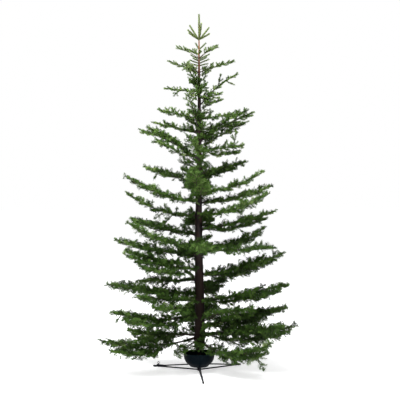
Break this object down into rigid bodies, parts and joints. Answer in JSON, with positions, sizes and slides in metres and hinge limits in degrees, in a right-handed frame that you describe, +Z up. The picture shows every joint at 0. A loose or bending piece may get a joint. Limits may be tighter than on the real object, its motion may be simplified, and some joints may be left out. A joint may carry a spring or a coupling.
{
  "type": "cut christmas tree in a bowl stand",
  "caption": "Tall cut christmas tree, an open-grown fir with layered boughs and a bare top shoot, standing in a dark steel water bowl on a welded rod tripod.",
  "frame": {"origin": "on the floor under the middle of the stand, on the trunk's line", "axes": "+Z up the trunk; -Y is the front of the tree, where one leg of the stand points; +X to the right as seen from the front"},
  "size_m": [1.5292, 1.2782, 2.75],
  "materials": {
    "bark": "rough bark",
    "needles": "matte needles",
    "young_needles": "matte needles",
    "black_steel": "satin black paint",
    "bowl_enamel": "satin dark blue green paint",
    "zinc": "dull plated steel"
  },
  "bodies": {
    "root": {"left_bough_01": "needles", "left_bough_02": "needles", "left_bough_03": "needles", "left_bough_04": "needles", "left_bough_05": "needles", "left_bough_06": "needles", "left_bough_07": "needles", "left_bough_08": "needles", "left_bough_09": "needles", "left_bough_10": "needles", "left_bough_11": "needles", "left_bough_12": "needles", "left_bough_13": "needles", "left_bough_14": "needles", "left_bough_15": "needles", "left_bough_16": "needles", "left_bough_17": "needles", "left_bough_18": "needles", "left_bough_19": "needles", "left_bough_20": "needles", "right_bough_01": "needles", "right_bough_02": "needles", "right_bough_03": "needles", "right_bough_04": "needles", "right_bough_05": "needles", "right_bough_06": "needles", "right_bough_07": "needles", "right_bough_08": "needles", "right_bough_09": "needles", "right_bough_10": "needles", "right_bough_11": "needles", "right_bough_12": "needles", "right_bough_13": "needles", "right_bough_14": "needles", "right_bough_15": "needles", "right_bough_16": "needles", "right_bough_17": "needles", "right_bough_18": "needles", "right_bough_19": "needles", "front_foliage_1": "needles", "front_foliage_2": "needles", "front_foliage_3": "needles", "back_foliage_1": "needles", "back_foliage_2": "needles", "back_foliage_3": "needles", "back_foliage_4": "needles", "back_foliage_5": "needles", "left_limb_01": "bark", "left_limb_02": "bark", "trunk": "bark", "leader_shoot": "young_needles", "centre_pin": "black_steel", "bowl": "bowl_enamel", "leg_1": "black_steel", "levelling_screw_1": "zinc", "leg_2": "black_steel", "levelling_screw_2": "zinc", "leg_3": "black_steel", "levelling_screw_3": "zinc", "second_whorl": "young_needles"}
  },
  "joints": []
}
